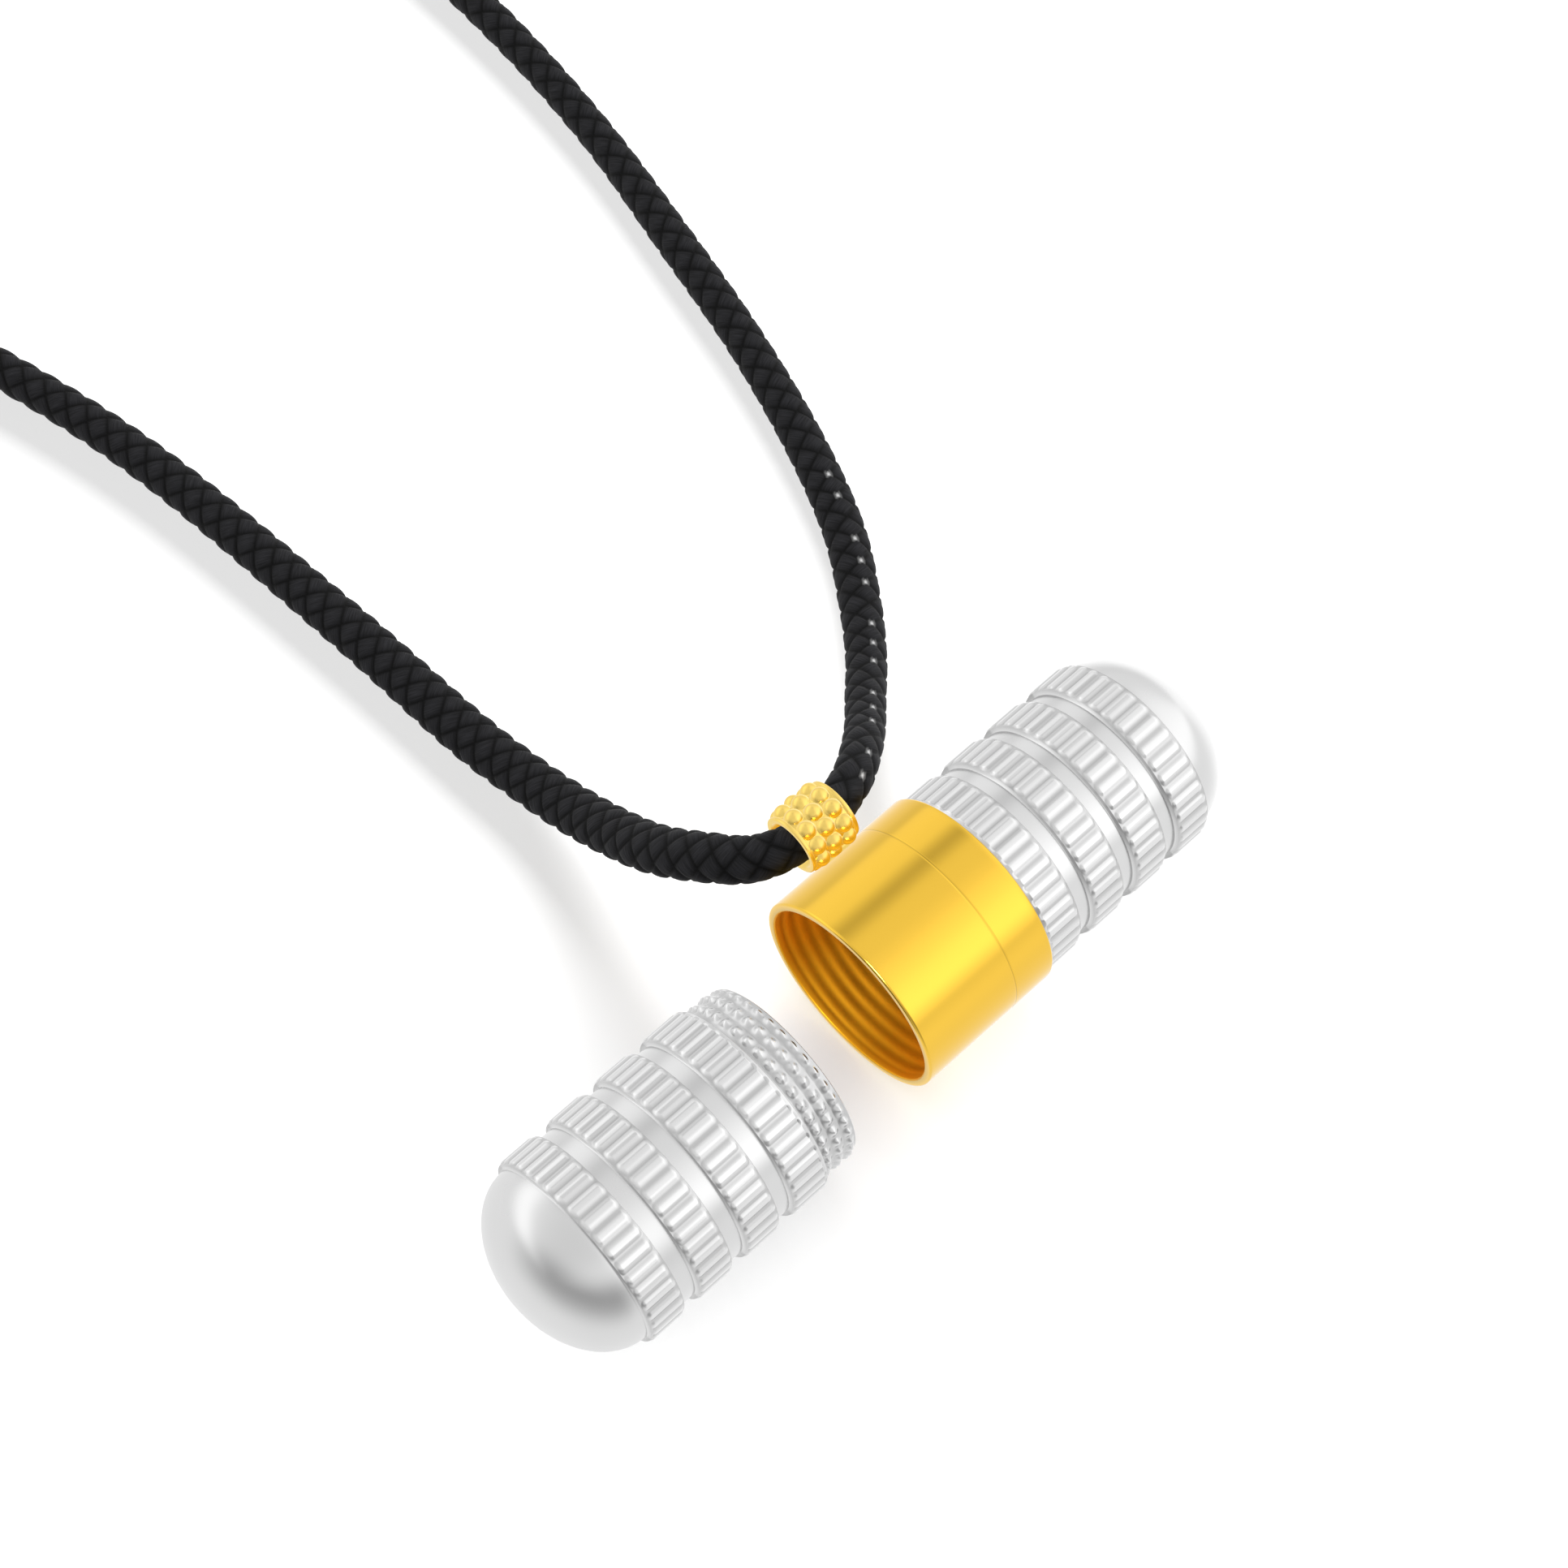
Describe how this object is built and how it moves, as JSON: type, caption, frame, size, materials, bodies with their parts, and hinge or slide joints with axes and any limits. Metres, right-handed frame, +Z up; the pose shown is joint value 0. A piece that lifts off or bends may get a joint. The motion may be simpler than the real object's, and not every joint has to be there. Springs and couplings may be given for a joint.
{
  "type": "amulet capsule pendant on a neck cord",
  "caption": "Open amulet capsule pendant: threaded gold sleeve with beaded bail, ribbed hollow halves that screw in, and a braided neck cord with a barrel clasp.",
  "frame": {"origin": "centre of the object's footprint, without the cord and its clasp, on the surface that it lies on", "axes": "+X along the capsule from the removed half to the fitted half, +Y towards the neck cord, +Z up"},
  "size_m": [0.0623, 0.1735, 0.013],
  "materials": {
    "gold": "polished gold plate",
    "silver": "polished silver",
    "black_braid": "braided nylon",
    "clasp_steel": "satin"
  },
  "bodies": {
    "pendant": {"threaded_sleeve": "gold", "lower_capsule": "silver", "neck_cord": "black_braid", "cord_clasp": "clasp_steel"},
    "fitted_half": {"upper_capsule": "silver"}
  },
  "joints": [
    {"name": "upper_unscrew", "type": "slide", "parent": "pendant", "child": "fitted_half", "axis": [1, 0, 0], "range_m": [0, 0.008]}
  ]
}
